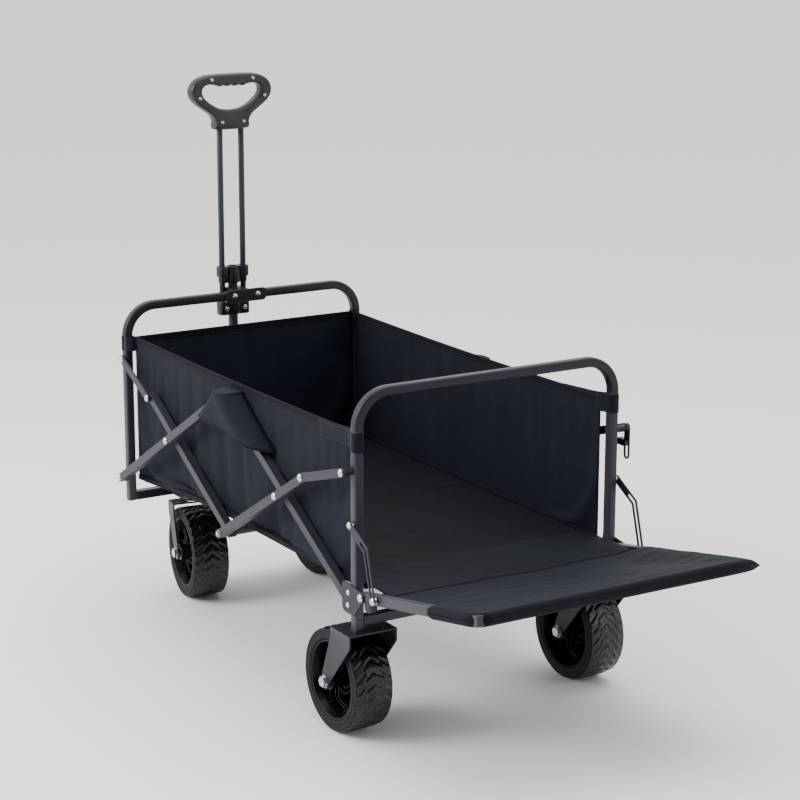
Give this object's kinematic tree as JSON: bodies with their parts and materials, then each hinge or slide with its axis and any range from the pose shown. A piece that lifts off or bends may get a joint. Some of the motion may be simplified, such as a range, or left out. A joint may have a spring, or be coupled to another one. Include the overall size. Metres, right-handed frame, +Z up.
{
  "type": "folding camp wagon",
  "caption": "Folding fabric camp wagon on a scissor frame, with a drop tailgate, swivelling front casters, wide wheels and a telescoping pull handle.",
  "frame": {"origin": "under the middle of the open wagon with its tailgate down, on the ground", "axes": "+X towards the tailgate, +Z up, -Y the wagon's left side"},
  "size_m": [1.2932, 0.5766, 0.9939],
  "materials": {
    "powder_coat": "fine satin powder coat",
    "dark_coat": "dark satin powder coat",
    "zinc_hardware": "bright zinc plate",
    "cloth": "coated polyester weave",
    "tyre": "moulded rubber",
    "rim": "moulded plastic",
    "moulded_plastic": "moulded plastic"
  },
  "bodies": {
    "rear_frame": {"rear_hoop": "powder_coat", "rear_crossbar": "dark_coat", "rear_fork_left": "powder_coat", "rear_fork_right": "powder_coat", "rear_axle_left": "zinc_hardware", "rear_axle_right": "zinc_hardware", "tailgate_bracket_left": "powder_coat", "tailgate_bracket_right": "powder_coat", "side_panel_left": "cloth", "side_panel_right": "cloth", "floor_mat": "cloth"},
    "front_frame": {"front_hoop": "powder_coat", "front_crossbar": "dark_coat", "front_panel": "cloth", "pole_clip": "moulded_plastic"},
    "floor_frame_rear": {"floor_frame_rear": "dark_coat"},
    "floor_frame_front": {"floor_frame_front": "dark_coat"},
    "tailgate": {"tailgate_frame": "powder_coat", "tailgate_panel": "cloth"},
    "fold_lock": {"fold_lock_hook": "dark_coat"},
    "pole": {"pole_tube": "powder_coat", "guide_block": "moulded_plastic"},
    "handle": {"handle_rod_left": "powder_coat", "handle_rod_right": "powder_coat", "slider_block": "moulded_plastic", "grip_shell_front": "moulded_plastic", "grip_shell_rear": "moulded_plastic"},
    "long_bar_rear_left": {"long_bar_rear_left": "powder_coat", "mid_top_pin_left": "zinc_hardware", "crossing_pin_rear_left": "zinc_hardware"},
    "long_bar_front_left": {"long_bar_front_left": "powder_coat", "crossing_pin_front_left": "zinc_hardware"},
    "short_bar_front_left": {"short_bar_front_left": "powder_coat"},
    "short_bar_rear_left": {"short_bar_rear_left": "powder_coat", "mid_tube": "dark_coat"},
    "short_link_front_left": {"short_link_front_left": "powder_coat"},
    "short_link_rear_left": {"short_link_rear_left": "powder_coat"},
    "tailgate_stay_left": {"tailgate_stay_left": "powder_coat"},
    "rear_wheel_left": {"rear_tyre_left": "tyre", "rear_rim_left": "rim"},
    "caster_left": {"caster_fork_left": "powder_coat", "front_axle_left": "zinc_hardware"},
    "front_wheel_left": {"front_tyre_left": "tyre", "front_rim_left": "rim"},
    "long_bar_rear_right": {"long_bar_rear_right": "powder_coat", "mid_top_pin_right": "zinc_hardware", "crossing_pin_rear_right": "zinc_hardware"},
    "long_bar_front_right": {"long_bar_front_right": "powder_coat", "crossing_pin_front_right": "zinc_hardware"},
    "short_bar_front_right": {"short_bar_front_right": "powder_coat"},
    "short_bar_rear_right": {"short_bar_rear_right": "powder_coat"},
    "short_link_front_right": {"short_link_front_right": "powder_coat"},
    "short_link_rear_right": {"short_link_rear_right": "powder_coat"},
    "tailgate_stay_right": {"tailgate_stay_right": "powder_coat"},
    "rear_wheel_right": {"rear_tyre_right": "tyre", "rear_rim_right": "rim"},
    "caster_right": {"caster_fork_right": "powder_coat", "front_axle_right": "zinc_hardware"},
    "front_wheel_right": {"front_tyre_right": "tyre", "front_rim_right": "rim"}
  },
  "joints": [
    {"name": "fold", "type": "hinge", "parent": "rear_frame", "child": "long_bar_rear_left", "pos_m": [0.25942, -0.25398, 0.237], "axis": [0, 1, 0], "range_deg": [0, 48.02], "deforming": ["side_panel_left", "side_panel_right", "floor_mat"]},
    {"name": "fold_long_bar_rear_right", "type": "hinge", "parent": "rear_frame", "child": "long_bar_rear_right", "pos_m": [0.25942, 0.24602, 0.237], "axis": [0, 1, 0], "range_deg": [0, 48.04]},
    {"name": "fold_long_bar_front_left", "type": "hinge", "parent": "long_bar_rear_left", "child": "long_bar_front_left", "pos_m": [-0.16173, -0.27122, 0.48], "axis": [0, 1, 0], "range_deg": [-96.05, 0]},
    {"name": "fold_long_bar_front_right", "type": "hinge", "parent": "long_bar_rear_right", "child": "long_bar_front_right", "pos_m": [-0.16173, 0.26327, 0.48], "axis": [0, 1, 0], "range_deg": [-96.05, 0]},
    {"name": "fold_front_frame", "type": "hinge", "parent": "long_bar_front_left", "child": "front_frame", "pos_m": [-0.58288, -0.27122, 0.237], "axis": [0, 1, 0], "range_deg": [0, 48.04]},
    {"name": "fold_short_bar_front_left", "type": "hinge", "parent": "long_bar_front_left", "child": "short_bar_front_left", "pos_m": [-0.3723, -0.25398, 0.3585], "axis": [0, 1, 0], "range_deg": [0, 96.05]},
    {"name": "fold_short_bar_rear_left", "type": "hinge", "parent": "long_bar_rear_left", "child": "short_bar_rear_left", "pos_m": [0.04885, -0.27122, 0.3585], "axis": [0, 1, 0], "range_deg": [-96.05, 0]},
    {"name": "fold_short_link_front_left", "type": "hinge", "parent": "front_frame", "child": "short_link_front_left", "pos_m": [-0.58288, -0.26572, 0.46912], "axis": [0, 1, 0], "range_deg": [-103.07, 0]},
    {"name": "fold_short_link_rear_left", "type": "hinge", "parent": "rear_frame", "child": "short_link_rear_left", "pos_m": [0.28372, -0.28223, 0.45729], "axis": [0, 1, 0], "range_deg": [0, 85.74]},
    {"name": "fold_short_bar_front_right", "type": "hinge", "parent": "long_bar_front_right", "child": "short_bar_front_right", "pos_m": [-0.3723, 0.24602, 0.3585], "axis": [0, 1, 0], "range_deg": [0, 96.05]},
    {"name": "fold_short_bar_rear_right", "type": "hinge", "parent": "long_bar_rear_right", "child": "short_bar_rear_right", "pos_m": [0.04885, 0.26327, 0.3585], "axis": [0, 1, 0], "range_deg": [-96.05, 0]},
    {"name": "fold_short_link_front_right", "type": "hinge", "parent": "front_frame", "child": "short_link_front_right", "pos_m": [-0.58288, 0.25777, 0.46912], "axis": [0, 1, 0], "range_deg": [-103.07, 0]},
    {"name": "fold_short_link_rear_right", "type": "hinge", "parent": "rear_frame", "child": "short_link_rear_right", "pos_m": [0.28372, 0.27427, 0.45729], "axis": [0, 1, 0], "range_deg": [0, 85.74]},
    {"name": "fold_floor_rear", "type": "hinge", "parent": "rear_frame", "child": "floor_frame_rear", "pos_m": [0.25042, -0.00398, 0.2511], "axis": [0, 1, 0], "range_deg": [0, 84.02]},
    {"name": "fold_floor_front", "type": "hinge", "parent": "front_frame", "child": "floor_frame_front", "pos_m": [-0.54958, -0.00398, 0.2511], "axis": [0, 1, 0], "range_deg": [-84.02, 0]},
    {"name": "tailgate", "type": "hinge", "parent": "rear_frame", "child": "tailgate", "pos_m": [0.31072, -0.00398, 0.2532], "axis": [0, -1, 0], "range_deg": [0, 79.5]},
    {"name": "stay_swing_left", "type": "hinge", "parent": "rear_frame", "child": "tailgate_stay_left", "pos_m": [0.28372, -0.26777, 0.368], "axis": [0, 1, 0], "range_deg": [0, 27.4]},
    {"name": "stay_swing_right", "type": "hinge", "parent": "rear_frame", "child": "tailgate_stay_right", "pos_m": [0.28372, 0.25982, 0.368], "axis": [0, 1, 0], "range_deg": [0, 27.4]},
    {"name": "fold_lock", "type": "hinge", "parent": "rear_frame", "child": "fold_lock", "pos_m": [0.28372, 0.27928, 0.45729], "axis": [0, 1, 0], "range_deg": [0, 95]},
    {"name": "pole_tilt", "type": "hinge", "parent": "front_frame", "child": "pole", "pos_m": [-0.62958, -0.00398, 0.204], "axis": [0, -1, 0], "range_deg": [0, 75]},
    {"name": "handle_slide", "type": "slide", "parent": "pole", "child": "handle", "axis": [0, 0, -1], "range_m": [0, 0.26]},
    {"name": "caster_swivel_left", "type": "hinge", "parent": "front_frame", "child": "caster_left", "pos_m": [-0.54438, -0.14197, 0.183], "axis": [0, 0, 1], "continuous": true},
    {"name": "front_wheel_spin_left", "type": "hinge", "parent": "caster_left", "child": "front_wheel_left", "pos_m": [-0.51471, -0.14641, 0.0884], "axis": [0.1478, 0.989, 0], "continuous": true},
    {"name": "rear_wheel_spin_left", "type": "hinge", "parent": "rear_frame", "child": "rear_wheel_left", "pos_m": [0.22542, -0.23748, 0.0884], "axis": [0, 1, 0], "continuous": true},
    {"name": "caster_swivel_right", "type": "hinge", "parent": "front_frame", "child": "caster_right", "pos_m": [-0.54438, 0.13403, 0.183], "axis": [0, 0, 1], "continuous": true},
    {"name": "front_wheel_spin_right", "type": "hinge", "parent": "caster_right", "child": "front_wheel_right", "pos_m": [-0.51449, 0.13664, 0.0884], "axis": [-0.0872, 0.9962, 0], "continuous": true},
    {"name": "rear_wheel_spin_right", "type": "hinge", "parent": "rear_frame", "child": "rear_wheel_right", "pos_m": [0.22542, 0.22952, 0.0884], "axis": [0, 1, 0], "continuous": true}
  ],
  "couplings": [
    {"joint": "fold_long_bar_rear_right", "follows": "fold", "ratio": 1},
    {"joint": "fold_long_bar_front_left", "follows": "fold", "ratio": -2},
    {"joint": "fold_long_bar_front_right", "follows": "fold", "ratio": -2},
    {"joint": "fold_front_frame", "follows": "fold", "ratio": 1},
    {"joint": "fold_short_bar_front_left", "follows": "fold", "ratio": 2},
    {"joint": "fold_short_bar_rear_left", "follows": "fold", "ratio": -2},
    {"joint": "fold_short_link_front_left", "follows": "fold", "ratio": -2.1462},
    {"joint": "fold_short_link_rear_left", "follows": "fold", "ratio": 1.7853},
    {"joint": "fold_short_bar_front_right", "follows": "fold", "ratio": 2},
    {"joint": "fold_short_bar_rear_right", "follows": "fold", "ratio": -2},
    {"joint": "fold_short_link_front_right", "follows": "fold", "ratio": -2.1462},
    {"joint": "fold_short_link_rear_right", "follows": "fold", "ratio": 1.7853},
    {"joint": "fold_floor_rear", "follows": "fold", "ratio": 1.7494},
    {"joint": "fold_floor_front", "follows": "fold", "ratio": -1.7494},
    {"joint": "stay_swing_left", "follows": "tailgate", "ratio": 0.34442},
    {"joint": "stay_swing_right", "follows": "tailgate", "ratio": 0.34442}
  ]
}
